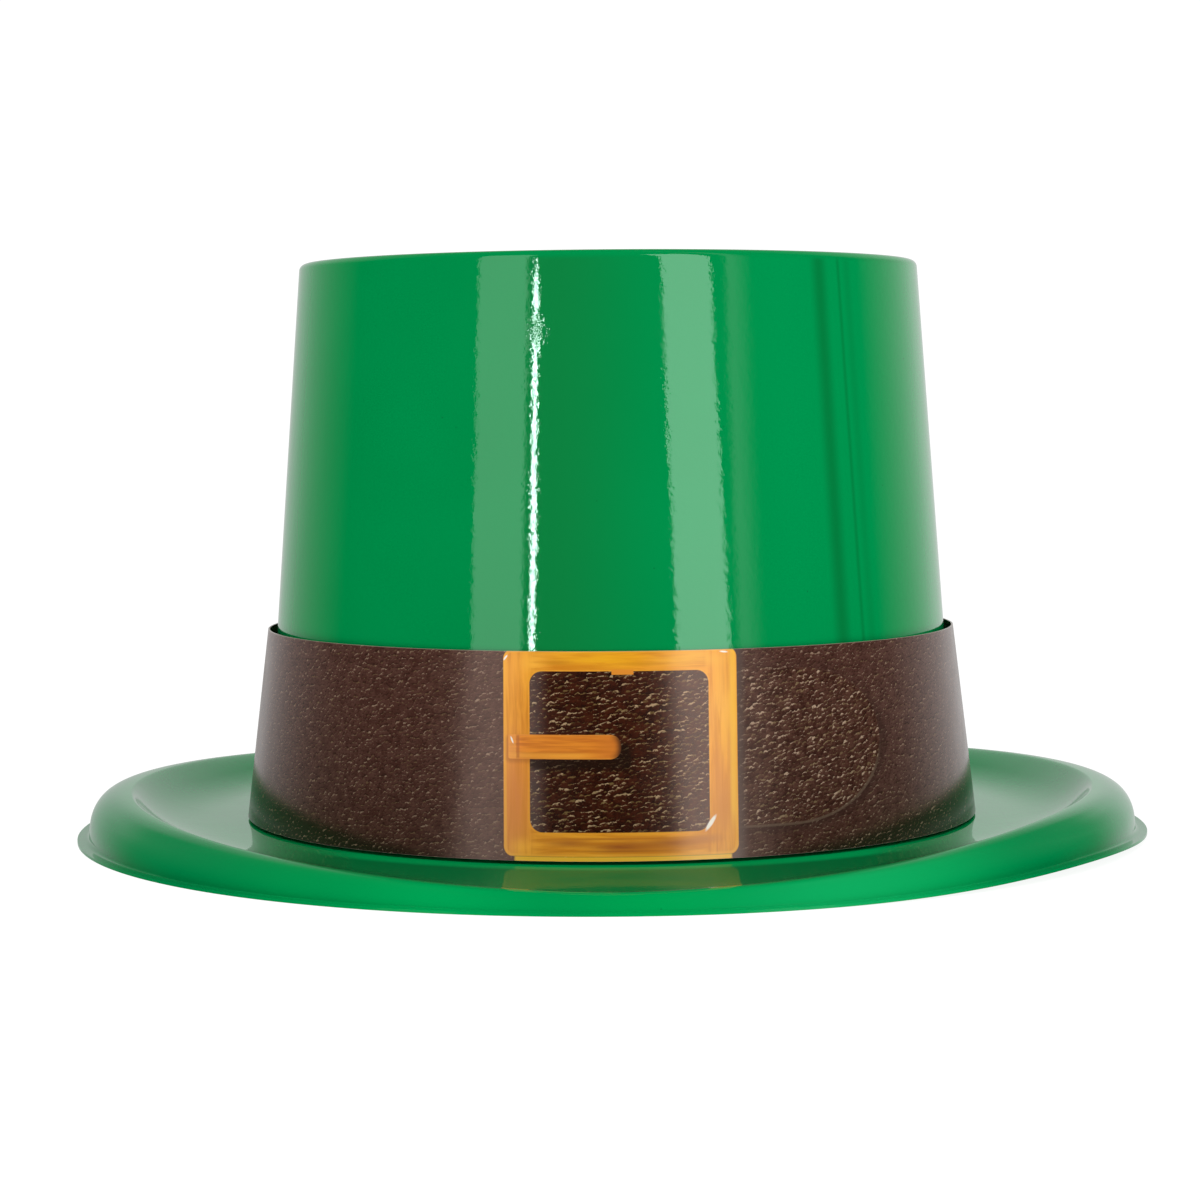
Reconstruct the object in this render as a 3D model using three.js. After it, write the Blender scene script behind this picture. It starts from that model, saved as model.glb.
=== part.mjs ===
// A rigid party hat of the leprechaun kind: a tall tapering crown and an oval brim with rolled
// sides, formed in one pull from a thin sheet of glossy green plastic, with a printed strip of
// card closed to a ring round the crown's foot. Millimetres, +Z up, the front towards -Y. The
// origin is the middle of the flat trim lip's underside, on which the hat rests.
import * as THREE from 'three';

// The sheet, and how finely the ovals and round stretches are divided.
const sheet = 0.6;
const around = 72;

// The brim, from its trim lip inwards. The roll is the brim's turned-down edge, whose crest swells
// up at the hat's two sides and hardly rises at its front. A slack of 1 rolls it as a quarter
// oval, a smaller one makes it squarer, and 2 would make it a straight chamfer. Between crown and
// roll lies a dish, flat at first and then steeper up to the crest, as its hollow number says.
const brimHalfWidth = 126;
const brimHalfDepth = 148.5;
const lipWidth = 2.7;
const rollWidthAtSides = 9.8;
const rollWidthAtEnds = 6.8;
const rollSlackAtSides = 0.76;
const rollSlackAtEnds = 1.5;
const crestAtSides = 11.3;
const crestAtFront = 3.5;
const crestAtBack = 6;
const crestSwell = 1.6;
const dishLevel = 3.5;
const dishFlat = 7.5;
const dishHollow = 3;

// The crown, a straight-sided oval taper with a flat top.
const height = 133.8;
const crownFootHalfWidth = 82;
const crownFootHalfDepth = 94.3;
const crownTopHalfWidth = 72.9;
const crownTopHalfDepth = 83.8;
const rootRadius = 3;
const topRadius = 1.6;

// The band. It fits the crown at the front and back, and bows off it at the sides. Its ends lap
// at the back, the outer end over the inner one.
const strip = 0.4;
const bandHeight = 44;
const fitGap = 0.3;
const footLift = 0.8;
const topBow = 1.5;
const footBow = 0.7;
const lapLength = 15;
const lapSettle = 12;

// A point of an oval with the given half-axes, at an angle from +X towards +Y.
function onOval(oval, angle) {
  return new THREE.Vector2(oval.x * Math.cos(angle), oval.y * Math.sin(angle));
}

// An oval that lies between two others: a share of 0 gives the first, 1 the second.
function between(first, second, share) {
  return {
    x: THREE.MathUtils.lerp(first.x, second.x, share),
    y: THREE.MathUtils.lerp(first.y, second.y, share),
  };
}

// An oval grown by the same amount on all sides.
function grown(oval, amount) {
  return { x: oval.x + amount, y: oval.y + amount };
}

const edge = { x: brimHalfWidth, y: brimHalfDepth };
const notch = grown(edge, -lipWidth);
const crest = { x: notch.x - rollWidthAtSides, y: notch.y - rollWidthAtEnds };
const foot = { x: crownFootHalfWidth, y: crownFootHalfDepth };
const top = { x: crownTopHalfWidth, y: crownTopHalfDepth };
const root = grown(foot, rootRadius);
const dish = grown(root, dishFlat);

// How high the roll's crest stands at an angle: a wave, highest at the two sides.
function crestHeight(angle) {
  const atEnd = Math.sin(angle) < 0 ? crestAtFront : crestAtBack;
  return THREE.MathUtils.lerp(atEnd, crestAtSides, Math.abs(Math.cos(angle)) ** crestSwell);
}

// How far the roll has risen, as a share, where it is still some share of its width off its crest.
function rollRise(angle, toCrest) {
  const slack = THREE.MathUtils.lerp(rollSlackAtEnds, rollSlackAtSides, Math.cos(angle) ** 2);
  return (1 - toCrest ** (2 / slack)) ** (slack / 2);
}

// The upper side of the sheet as sections, from the lip's edge to the last oval of the flat top.
// Each has an oval and a height, which may change with the angle.
function shellSections() {
  const sections = [];
  const add = (oval, rise) => sections.push({ oval, rise });

  add(edge, () => sheet);
  const rollSteps = 5;
  for (let i = 0; i <= rollSteps; i++) {
    const toCrest = Math.cos((Math.PI / 2) * (i / rollSteps)) ** rollSlackAtSides;
    const rise = (angle) => THREE.MathUtils.lerp(sheet, crestHeight(angle), rollRise(angle, toCrest));
    add(between(crest, notch, toCrest), rise);
  }
  const slopeSteps = 6;
  for (let i = 1; i <= slopeSteps; i++) {
    const share = i / slopeSteps;
    const left = (1 - share) ** dishHollow;
    add(between(crest, dish, share), (angle) => THREE.MathUtils.lerp(dishLevel, crestHeight(angle), left));
  }

  const filletSteps = 3;
  for (let i = 0; i <= filletSteps; i++) {
    const turn = (Math.PI / 2) * (i / filletSteps);
    const level = dishLevel + rootRadius * (1 - Math.cos(turn));
    add(grown(foot, rootRadius * (1 - Math.sin(turn))), () => level);
  }
  const wallSteps = 4;
  const wallFoot = dishLevel + rootRadius;
  for (let i = 1; i <= wallSteps; i++) {
    const share = i / wallSteps;
    const level = THREE.MathUtils.lerp(wallFoot, height - topRadius, share);
    add(between(foot, top, share), () => level);
  }
  for (let i = 1; i <= filletSteps; i++) {
    const turn = (Math.PI / 2) * (i / filletSteps);
    const level = height - topRadius * (1 - Math.sin(turn));
    add(grown(top, -topRadius * (1 - Math.cos(turn))), () => level);
  }
  for (const share of [0.66, 0.33]) {
    add({ x: top.x * share, y: top.y * share }, () => height);
  }
  return sections;
}

// How far each point of the profile moves to reach the sheet's other side, square to the profile
// and downwards or inwards. Where two stretches meet, the move is the mitre of both.
function undersideMoves(profile) {
  const inward = [];
  for (let i = 0; i + 1 < profile.length; i++) {
    const along = profile[i + 1].clone().sub(profile[i]).normalize();
    inward.push(new THREE.Vector2(along.y, -along.x).negate());
  }
  return profile.map((_, i) => {
    const before = inward[Math.max(i - 1, 0)];
    const after = inward[Math.min(i, inward.length - 1)];
    const mitre = sheet / (1 + before.dot(after));
    return before.clone().add(after).multiplyScalar(mitre);
  });
}

// A closed body from a grid of rows, each a ring of points that all have the same count. Rows
// follow each other along the body, and the two end rows are closed to their own middle points.
function bodyFromRings(rings, firstMiddle, lastMiddle) {
  const count = rings[0].length;
  const points = [...rings.flat(), firstMiddle, lastMiddle];
  const index = [];
  for (let r = 0; r + 1 < rings.length; r++) {
    for (let i = 0; i < count; i++) {
      const next = (i + 1) % count;
      const a = r * count + i;
      const b = r * count + next;
      index.push(a, b, b + count, a, b + count, a + count);
    }
  }
  const lastRow = (rings.length - 1) * count;
  for (let i = 0; i < count; i++) {
    const next = (i + 1) % count;
    index.push(next, i, points.length - 2);
    index.push(lastRow + i, lastRow + next, points.length - 1);
  }
  return geometryOf(points, index);
}

function geometryOf(points, index) {
  const geometry = new THREE.BufferGeometry().setFromPoints(points);
  geometry.setIndex(index);
  return geometry;
}

// Crown and brim. The rings run up the underside's inner face from the middle of the crown's
// ceiling down to the lip, round the lip's edge, and back up the outside to the top's middle.
function shellGeometry() {
  const sections = shellSections();
  const outer = sections.map(() => []);
  const inner = sections.map(() => []);
  for (let i = 0; i < around; i++) {
    const angle = (2 * Math.PI * i) / around;
    const sideways = new THREE.Vector2(foot.y * Math.cos(angle), foot.x * Math.sin(angle)).normalize();
    const places = sections.map(({ oval }) => onOval(oval, angle));
    const heights = sections.map(({ rise }) => rise(angle));
    const profile = places.map((place, k) => new THREE.Vector2(place.dot(sideways), heights[k]));
    undersideMoves(profile).forEach((move, k) => {
      outer[k].push(new THREE.Vector3(places[k].x, places[k].y, heights[k]));
      const under = places[k].clone().addScaledVector(sideways, move.x);
      inner[k].push(new THREE.Vector3(under.x, under.y, heights[k] + move.y));
    });
  }
  const rings = [...inner.reverse(), ...outer];
  return bodyFromRings(rings, new THREE.Vector3(0, 0, height - sheet), new THREE.Vector3(0, 0, height));
}

// The crown's oval at a level between its foot and its top.
function crownAt(level) {
  const wallFoot = dishLevel + rootRadius;
  return between(foot, top, (level - wallFoot) / (height - topRadius - wallFoot));
}

// The band's inner face at its lower and upper edge. At the front and back it keeps the fit gap,
// and at the sides it bows further off. Its foot stands clear of the fillet at the crown's root,
// and a little above the dish.
function bandEdges() {
  const low = dishLevel + footLift;
  const high = low + bandHeight;
  const footOval = grown(root, fitGap);
  const topOval = grown(crownAt(high), fitGap);
  return [
    { level: low, oval: { x: footOval.x + footBow, y: footOval.y + footBow } },
    { level: high, oval: { x: topOval.x + topBow, y: topOval.y } },
  ];
}

// The strip's plan as two loops of stations, each an angle and how far that face stands off the
// inner oval. The outer end lies on the inner one over the lap, and past the inner one's end the
// strip settles back onto the crown.
function bandStations() {
  const middle = Math.PI / 2;
  const perAngle = crownAt(dishLevel + rootRadius).x;
  const lapHalf = lapLength / 2 / perAngle;
  const settle = lapSettle / perAngle;
  const regular = Array.from({ length: around }, (_, i) => middle + (2 * Math.PI * (i + 0.5)) / around);
  const lapEnd = middle + lapHalf;
  const lapStart = middle - lapHalf + 2 * Math.PI;
  const clear = regular.filter((angle) => angle > lapEnd + settle && angle < lapStart);
  const settling = [0, 0.25, 0.5, 0.75, 1].map((share) => ({
    angle: lapEnd + settle * share,
    off: strip * (1 - THREE.MathUtils.smoothstep(share, 0, 1)),
  }));
  const lap = [lapStart, middle + 2 * Math.PI, lapEnd + 2 * Math.PI];
  const inner = [
    ...settling,
    ...clear.map((angle) => ({ angle, off: 0 })),
    ...lap.map((angle) => ({ angle, off: 0 })),
  ];
  const outer = [
    ...settling.map(({ angle, off }) => ({ angle, off: off + strip })),
    ...clear.map((angle) => ({ angle, off: strip })),
    { angle: lapStart, off: strip },
    ...lap.slice(0, -1).map((angle) => ({ angle, off: 2 * strip })),
  ];
  return { inner, outer };
}

// A station's place on one edge of the band: the oval's point, moved square to the oval.
function bandPoint(edgeOfBand, { angle, off }) {
  const { oval, level } = edgeOfBand;
  const sideways = new THREE.Vector2(oval.y * Math.cos(angle), oval.x * Math.sin(angle)).normalize();
  const place = onOval(oval, angle).addScaledVector(sideways, off);
  return new THREE.Vector3(place.x, place.y, level);
}

// The band: the two loops carried straight from its lower to its upper edge, with the flat cut
// edges between them.
function bandGeometry() {
  const { inner, outer } = bandStations();
  const [low, high] = bandEdges();
  const loops = [
    outer.map((station) => bandPoint(low, station)),
    outer.map((station) => bandPoint(high, station)),
    inner.map((station) => bandPoint(low, station)),
    inner.map((station) => bandPoint(high, station)),
  ];
  const points = loops.flat();
  const outerHigh = outer.length;
  const innerLow = 2 * outer.length;
  const innerHigh = innerLow + inner.length;
  const index = [];
  const wall = (lowStart, highStart, count, facingOut) => {
    for (let i = 0; i < count; i++) {
      const next = (i + 1) % count;
      const quad = [lowStart + i, lowStart + next, highStart + next, highStart + i];
      const [a, b, c, d] = facingOut ? quad : quad.reverse();
      index.push(a, b, c, a, c, d);
    }
  };
  wall(0, outerHigh, outer.length, true);
  wall(innerLow, innerHigh, inner.length, false);

  const flat = (loop) => loop.map((point) => new THREE.Vector2(point.x, point.y));
  const faces = THREE.ShapeUtils.triangulateShape(flat(loops[1]), [flat(loops[3])]);
  const onHigh = (i) => (i < outer.length ? outerHigh + i : innerHigh + i - outer.length);
  const onLow = (i) => (i < outer.length ? i : innerLow + i - outer.length);
  for (const [a, b, c] of faces) {
    index.push(onHigh(a), onHigh(b), onHigh(c));
    index.push(onLow(a), onLow(c), onLow(b));
  }
  return geometryOf(points, index);
}

const greenPlastic = new THREE.MeshStandardMaterial({ color: 0x008c48, roughness: 0.12, metalness: 0 });
const printedCard = new THREE.MeshStandardMaterial({ color: 0x4b322d, roughness: 0.25, metalness: 0 });

function named(name, geometry, material) {
  const mesh = new THREE.Mesh(geometry, material);
  mesh.name = name;
  return mesh;
}

const group = new THREE.Group();
group.add(named('hat_shell', shellGeometry(), greenPlastic));
group.add(named('hat_band', bandGeometry(), printedCard));

export default group;
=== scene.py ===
from collections import namedtuple

import bpy
import numpy as np
from mathutils import Euler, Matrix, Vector


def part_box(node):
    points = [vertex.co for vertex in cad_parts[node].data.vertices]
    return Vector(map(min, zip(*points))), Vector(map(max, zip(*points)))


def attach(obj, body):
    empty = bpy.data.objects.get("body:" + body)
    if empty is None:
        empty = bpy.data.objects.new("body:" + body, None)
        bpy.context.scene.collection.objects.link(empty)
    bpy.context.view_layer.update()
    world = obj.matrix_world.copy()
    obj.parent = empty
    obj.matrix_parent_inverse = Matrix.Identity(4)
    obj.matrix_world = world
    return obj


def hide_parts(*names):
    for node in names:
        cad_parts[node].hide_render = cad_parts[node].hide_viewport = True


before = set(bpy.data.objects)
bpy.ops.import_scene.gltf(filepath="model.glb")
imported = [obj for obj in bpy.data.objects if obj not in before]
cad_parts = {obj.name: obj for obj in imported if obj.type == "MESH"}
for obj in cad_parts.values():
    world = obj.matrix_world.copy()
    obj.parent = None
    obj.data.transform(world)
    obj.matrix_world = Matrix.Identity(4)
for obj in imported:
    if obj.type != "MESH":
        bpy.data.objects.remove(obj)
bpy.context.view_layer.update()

# The shell: crown and brim in one thin sheet of glossy green plastic, drawn over a mould and
# trimmed to a lip. The mould's corners are all rounded, and the sheet came off it slightly wavy,
# so that its reflections have ragged edges. It is made of ovals that follow its profile.
MM = 0.001
shell_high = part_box("hat_shell")[1]

# Pairs are measured from the hat's middle: first to a side, then to the front or the back.
sheet = 0.6 * MM
brim_edge = np.array([shell_high.x, shell_high.y])
hat_height = shell_high.z
lip_width = 2.7 * MM
lip_rise = 1.8 * MM
lip_rises_at = np.radians(-34.0)
lip_rise_power = 14
roll_width = np.array([9.8, 6.8]) * MM
roll_slack_at_sides = 0.76
roll_slack_at_ends = 1.5
crest_at_sides = 11.3 * MM
crest_at_front = 3.5 * MM
crest_at_back = 6.0 * MM
crest_swell = 1.6
crest_rounding = 0.035
dish_level = 3.5 * MM
dish_flat = 7.5 * MM
dish_hollow = 3.0
crown_foot = np.array([82.0, 94.3]) * MM
crown_top = np.array([72.9, 83.8]) * MM
root_radius = 3.0 * MM
top_radius = 1.6 * MM

# How many rows of points each stretch of the profile has, and how many points each row.
lip_rows = 4
roll_rows = 28
dish_rows = 34
fillet_rows = 9
wall_rows = 34
top_rows = 12
blended_rows = (1, 9)
shell_columns = 288

# The roll starts this share off the lip's corner, the dish's rows crowd towards the crest by this
# power, and the top's rows stop at this share, where the fan takes over.
roll_start = 0.004
dish_crowding = 1.4
top_end = 0.96


def smooth(share):
    """Rises from 0 to 1 with a level start and end: 3 s squared less 2 s cubed."""
    share = np.clip(share, 0.0, 1.0)
    return share * share * (3.0 - 2.0 * share)


def lip_lift(angle):
    """How far the trim lip stands off the table, as the sheet sprang a little after trimming.

    It is one soft hump on the right towards the front: a high power of a cosine wave."""
    return lip_rise * np.clip(np.cos(angle - lip_rises_at), 0.0, 1.0) ** lip_rise_power


def shell_profile(angle):
    """The sheet's upper side as rows of ovals and heights, from the lip's edge to the top's middle.

    Each stretch is a short formula of its share from 0 to 1: the lip is level, the roll a
    superellipse quarter, the dish a power curve that steepens up to the crest, both fillets
    quarter circles, and the wall and the top straight. The roll's crest is a wave of the angle,
    highest at the hat's two sides, and the roll is squarer there and slacker at its ends. Where
    the roll meets the lip, each row is averaged with its neighbours twice, which rounds the corner."""
    edge, notch = brim_edge, brim_edge - lip_width
    crest = notch - roll_width
    root, dish = crown_foot + root_radius, crown_foot + root_radius + dish_flat
    at_end = np.where(np.sin(angle) < 0, crest_at_front, crest_at_back)
    crest_height = at_end + (crest_at_sides - at_end) * np.abs(np.cos(angle)) ** crest_swell
    slack = roll_slack_at_ends + (roll_slack_at_sides - roll_slack_at_ends) * np.cos(angle) ** 2
    ovals, heights = [], []

    def stretch(first, last, inward, height):
        ovals.append(first + (last - first) * inward[:, None])
        heights.append(height + np.zeros((len(inward), len(angle))))

    stretch(edge, notch, np.linspace(0.0, 1.0, lip_rows), sheet)
    to_crest = np.cos(np.linspace(roll_start, 1.0, roll_rows) * np.pi / 2) ** roll_slack_at_sides
    risen = np.clip(1 - to_crest[:, None] ** (2 / slack), 0.0, 1.0) ** (slack / 2)
    stretch(crest, notch, to_crest, sheet + (crest_height - sheet) * risen)
    share = np.linspace(0.0, 1.0, dish_rows)[1:] ** dish_crowding
    rounded = np.hypot(share, crest_rounding) - crest_rounding
    left = (1 - rounded / rounded[-1])[:, None] ** dish_hollow
    stretch(crest, dish, share, dish_level + (crest_height - dish_level) * left)
    turn = np.linspace(0.0, 1.0, fillet_rows) * np.pi / 2
    stretch(root, crown_foot, np.sin(turn), dish_level + root_radius * (1 - np.cos(turn))[:, None])
    share = np.linspace(0.0, 1.0, wall_rows)[1:]
    wall_foot, wall_top = dish_level + root_radius, hat_height - top_radius
    stretch(crown_foot, crown_top, share, (wall_foot + (wall_top - wall_foot) * share)[:, None])
    turn = turn[1:]
    top_edge = crown_top - top_radius
    stretch(crown_top, top_edge, 1 - np.cos(turn), hat_height - top_radius * (1 - np.sin(turn))[:, None])
    stretch(top_edge, 0 * top_edge, np.linspace(0.0, top_end, top_rows)[1:], hat_height)
    ovals, heights = np.vstack(ovals), np.vstack(heights)
    first, last = blended_rows
    for _ in range(2):
        for rows in (ovals, heights):
            neighbours = rows[first - 1:last - 1] + rows[first + 1:last + 1]
            rows[first:last] = (neighbours + 2 * rows[first:last]) / 4
    return ovals, heights


def shell_sides(angle):
    """The sheet's two sides as grids of points, rows by angles.

    The upper side is each row's oval at its height. The underside lies one sheet inside it, along
    the profile's own normal in the upright plane square to the oval."""
    ovals, heights = shell_profile(angle)
    around = np.stack([np.cos(angle), np.sin(angle)], axis=-1)
    plan = ovals[:, None, :] * around[None]
    square = around * crown_foot[::-1]
    square = square / np.linalg.norm(square, axis=-1, keepdims=True)
    out = (plan * square[None]).sum(-1)
    along_out, along_up = np.gradient(out, axis=0), np.gradient(heights, axis=0)
    length = np.hypot(along_out, along_up)
    inset = sheet * np.stack([-along_up / length, along_out / length], axis=-1)
    dish = crown_foot[0] + root_radius + dish_flat
    reach = (ovals[:, :1] - dish) / (brim_edge[0] - dish)
    lift = lip_lift(angle)[None] * smooth(reach)
    upper = np.concatenate([plan, (heights + lift)[..., None]], axis=-1)
    under_plan = plan + square[None] * inset[..., :1]
    under = np.concatenate([under_plan, (heights + lift + inset[..., 1])[..., None]], axis=-1)
    under[..., 2] = np.maximum(under[..., 2], 0.0)
    return upper, under


def ring_faces(rows, columns, joined):
    """Four-sided faces between rings that follow each other, and from the last to the first if joined."""
    row, column = np.meshgrid(np.arange(rows if joined else rows - 1), np.arange(columns), indexing="ij")
    here, next_ring = row * columns, (row + 1) % rows * columns
    after = (column + 1) % columns
    faces = np.stack([here + column, here + after, next_ring + after, next_ring + column], axis=-1)
    return faces.reshape(-1, 4).tolist()


def smooth_piece(name, points, faces, sharp_from):
    """An object of smooth faces, with sharp edges where they meet at more than an angle in degrees."""
    mesh = bpy.data.meshes.new(name)
    mesh.from_pydata(points.tolist(), [], faces)
    mesh.polygons.foreach_set("use_smooth", np.ones(len(mesh.polygons), bool))
    mesh.set_sharp_from_angle(angle=np.radians(sharp_from))
    mesh.update()
    piece = bpy.data.objects.new(name, mesh)
    bpy.context.scene.collection.objects.link(piece)
    return piece


def capped_rings(rings):
    """The points and faces of a closed body: rings that follow each other, with a fan at each end."""
    rows, columns = rings.shape[:2]
    points = np.vstack([rings.reshape(-1, 3), rings[0].mean(axis=0), rings[-1].mean(axis=0)])
    here = np.arange(columns)
    after = (here + 1) % columns
    last = (rows - 1) * columns
    first_fan = np.stack([after, here, np.full(columns, rows * columns)], axis=-1)
    last_fan = np.stack([last + here, last + after, np.full(columns, rows * columns + 1)], axis=-1)
    return points, ring_faces(rows, columns, joined=False) + first_fan.tolist() + last_fan.tolist()


shell_angles = np.linspace(0.0, 2 * np.pi, shell_columns, endpoint=False)
shell_upper, shell_under = shell_sides(shell_angles)
shell_points, shell_faces = capped_rings(np.concatenate([shell_under[::-1], shell_upper]))
shell = smooth_piece("formed_shell", shell_points, shell_faces, sharp_from=50.0)


def put(tree, kind, *values, out=0, **settings):
    """Places a node, sets its choices and its inputs in order, and returns one of its outputs.

    A value may be another node's output, a number or a colour. None leaves that input alone."""
    node = tree.nodes.new(kind)
    for name, choice in settings.items():
        setattr(node, name, choice)
    for socket, value in zip(node.inputs, values):
        if isinstance(value, bpy.types.NodeSocket):
            tree.links.new(value, socket)
        elif value is not None:
            socket.default_value = value
    return node.outputs[out]


def parts_of(tree, place):
    """A place's three parts, along x, y and z."""
    return put(tree, "ShaderNodeSeparateXYZ", place).node.outputs


def math(tree, operation, *values):
    return put(tree, "ShaderNodeMath", *values, operation=operation)


def product(tree, *values):
    total = values[0]
    for value in values[1:]:
        total = math(tree, "MULTIPLY", total, value)
    return total


def away(tree, value, middle):
    """How far a value lies from a middle one, to either side."""
    return math(tree, "ABSOLUTE", math(tree, "SUBTRACT", value, middle))


def diagonal(tree, x, y):
    """The root of x squared and y squared together."""
    return math(tree, "SQRT", math(tree, "ADD", product(tree, x, x), product(tree, y, y)))


def ramp(tree, value, start, end, low=0.0, high=1.0):
    """A smooth step: low before start, high after end."""
    return put(tree, "ShaderNodeMapRange", value, start, end, low, high, interpolation_type="SMOOTHSTEP")


def fade(tree, value, start, end):
    """A smooth step down: 1 before start, 0 after end."""
    return ramp(tree, value, start, end, 1.0, 0.0)


def mixed(tree, share, first, second, way="MIX"):
    """Two colours mixed: the first where the share is 0, the second where it is 1."""
    not_colours = (None,) * 5
    return put(tree, "ShaderNodeMix", share, *not_colours, first, second, out=2,
               data_type="RGBA", blend_type=way)


def noise(tree, place, scale, detail=2.0, rough=0.5, twist=0.0, flat=False):
    """Soft noise at a scale in waves per unit, about 0.5 in the middle."""
    node = tree.nodes.new("ShaderNodeTexNoise")
    node.noise_dimensions = "2D" if flat else "3D"
    tree.links.new(place, node.inputs["Vector"])
    node.inputs["Scale"].default_value = scale
    node.inputs["Detail"].default_value = detail
    node.inputs["Roughness"].default_value = rough
    node.inputs["Distortion"].default_value = twist
    return node.outputs[0]


def group_of(name, inputs, outputs):
    """A new shader node group with named value, vector or colour sockets."""
    kinds = {"value": "NodeSocketFloat", "vector": "NodeSocketVector", "colour": "NodeSocketColor"}
    tree = bpy.data.node_groups.new(name, "ShaderNodeTree")
    for direction, sockets in (("INPUT", inputs), ("OUTPUT", outputs)):
        for label, kind in sockets:
            tree.interface.new_socket(name=label, in_out=direction, socket_type=kinds[kind])
    return tree, tree.nodes.new("NodeGroupInput").outputs, tree.nodes.new("NodeGroupOutput").inputs


def use_group(tree, group, *values):
    return put(tree, "ShaderNodeGroup", *values, node_tree=group)


def principled(name, roughness, ior):
    """A new material, with its node tree and its Principled shader."""
    material = bpy.data.materials.new(name)
    material.use_nodes = True
    tree = material.node_tree
    shader = tree.nodes["Principled BSDF"]
    shader.inputs["Roughness"].default_value = roughness
    shader.inputs["IOR"].default_value = ior
    return material, tree, shader


def raise_by(tree, shader, height):
    """Bumps a surface by a height in metres."""
    bump = put(tree, "ShaderNodeBump", 1.0, 1.0)
    tree.links.new(height, bump.node.inputs["Height"])
    tree.links.new(bump, shader.inputs["Normal"])


def dust_group():
    """Sparse specks: small round spots at the middles of Voronoi cells, in a share of the cells."""
    tree, given, result = group_of("dust", [("Place", "vector"), ("Per metre", "value"), ("Size", "value"),
                                            ("Share", "value")], [("Mask", "value")])
    cells = tree.nodes.new("ShaderNodeTexVoronoi")
    tree.links.new(given["Place"], cells.inputs["Vector"])
    tree.links.new(given["Per metre"], cells.inputs["Scale"])
    chance = put(tree, "ShaderNodeSeparateColor", cells.outputs["Color"])
    there = math(tree, "LESS_THAN", chance, given["Share"])
    near = math(tree, "LESS_THAN", cells.outputs["Distance"], given["Size"])
    tree.links.new(product(tree, there, near), result["Mask"])
    return tree


def ripple_group():
    """The uneven skin of a thin sheet as a height: long soft waves and short ones, each its own depth."""
    tree, given, result = group_of("ripple", [("Place", "vector"), ("Long waves", "value"),
                                              ("Short waves", "value")], [("Height", "value")])
    long_waves = noise(tree, given["Place"], scale=62.0, detail=1.0, rough=0.4)
    short_waves = noise(tree, given["Place"], scale=620.0, detail=3.0, rough=0.62)
    total = math(tree, "ADD", product(tree, long_waves, given["Long waves"]),
                 product(tree, short_waves, given["Short waves"]))
    tree.links.new(total, result["Height"])
    return tree


dust = dust_group()
ripple = ripple_group()

# The greens of the sheet, with painted light and shade: lighter on the crown's right, darker at its
# front middle, and darker in the painted shade of the dish and of the roll at the sides.
green_thick = (0.0, 0.258, 0.063, 1)
green_plain = (0.0, 0.272, 0.068, 1)
green_crown_lit = (0.0, 0.285, 0.073, 1)
green_crown_shade = (0.004, 0.218, 0.050, 1)
green_streak = (0.001, 0.200, 0.047, 1)
green_roll_shade = (0.0, 0.205, 0.056, 1)
green_shade = (0.001, 0.125, 0.032, 1)
green_shade_middle = (0.004, 0.152, 0.035, 1)
green_speck = (0.004, 0.09, 0.03, 1)
specks_per_metre, speck_size, speck_share, speck_strength = 330.0, 0.055, 0.06, 0.55
sheet_roughness = (0.02, 0.065)
mirror_tint = (0.69, 1.0, 0.87, 1)

# Where tones start and end, each as a from and a to. Bearings are in degrees from the front's
# middle towards the hat's right, and oval shares are 1 on the brim's edge or the band's foot.
top_heights = (131.5 * MM, 133.0 * MM)
crown_heights = (10.0 * MM, 16.0 * MM)
right_start, right_end = (14.0, 32.0), (110.0, 170.0)
middle_start, middle_end = (-14.6, -13.4), (-10.0, 12.0)
shade_front, shade_side = (-40.0 * MM, -60.0 * MM), (52.0 * MM, 82.0 * MM)
shade_heights = (7.0 * MM, 9.0 * MM)
shade_edge_share, shade_foot_share = (0.925, 0.940), (1.045, 1.095)
shade_middle = (20.0 * MM, 30.0 * MM)
front_roll_y, front_roll_share = (-90.0 * MM, -110.0 * MM), (0.935, 0.95)
side_roll_x, side_roll_share = (60.0 * MM, 95.0 * MM), (0.90, 0.94)
dull_roll_y, dull_roll_share = (-45.0 * MM, -85.0 * MM), (0.93, 0.945)
sag_heights = (7.0 * MM, 15.0 * MM)
scuff_reach = (2.0 * MM, 6.0 * MM)

# Dark streaks run up the wall, and lean by this many degrees to a metre of height. Each row is a
# bearing at the height where they are measured, a half width in degrees, and a strength.
streaks_height = 130.0 * MM
streaks_lean = 13.5
dark_streaks = (
    (38.9, 2.6, 1.0),
    (43.6, 0.7, 0.75),
    (45.8, 1.6, 0.35),
)

# Painted light on the roll in front, as lighter patches: the middle's way to the right, the reach and the
# green.
roll_light_patches = (
    (-34.0 * MM, 30.0 * MM, (0.0, 0.335, 0.082, 1)),
    (10.0 * MM, 32.0 * MM, (0.0, 0.330, 0.076, 1)),
    (46.0 * MM, 42.0 * MM, (0.004, 0.370, 0.104, 1)),
)

# How much of a plain mirror is left on the shaded dish, in it and in its middle, and on the dull
# roll. The depths are those of the skin's waves, and the sag is the slope of the brim's skin.
full_mirror = 0.5
shade_mirror, shade_middle_mirror = 0.001, 0.004
dull_share = 0.1
long_wave_depth = 0.05 * MM
short_wave_depth = 0.022 * MM
scuff_depth = 0.07 * MM
scuffed_spot = Vector((-14.5, -85.5, 116.5)) * MM
brim_sag = 0.035

# The strip round the crown's foot is as thick as this, and its inner side stands on this oval.
strip = 0.4 * MM
foot_oval = np.array([86.0, 98.3]) * MM


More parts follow.
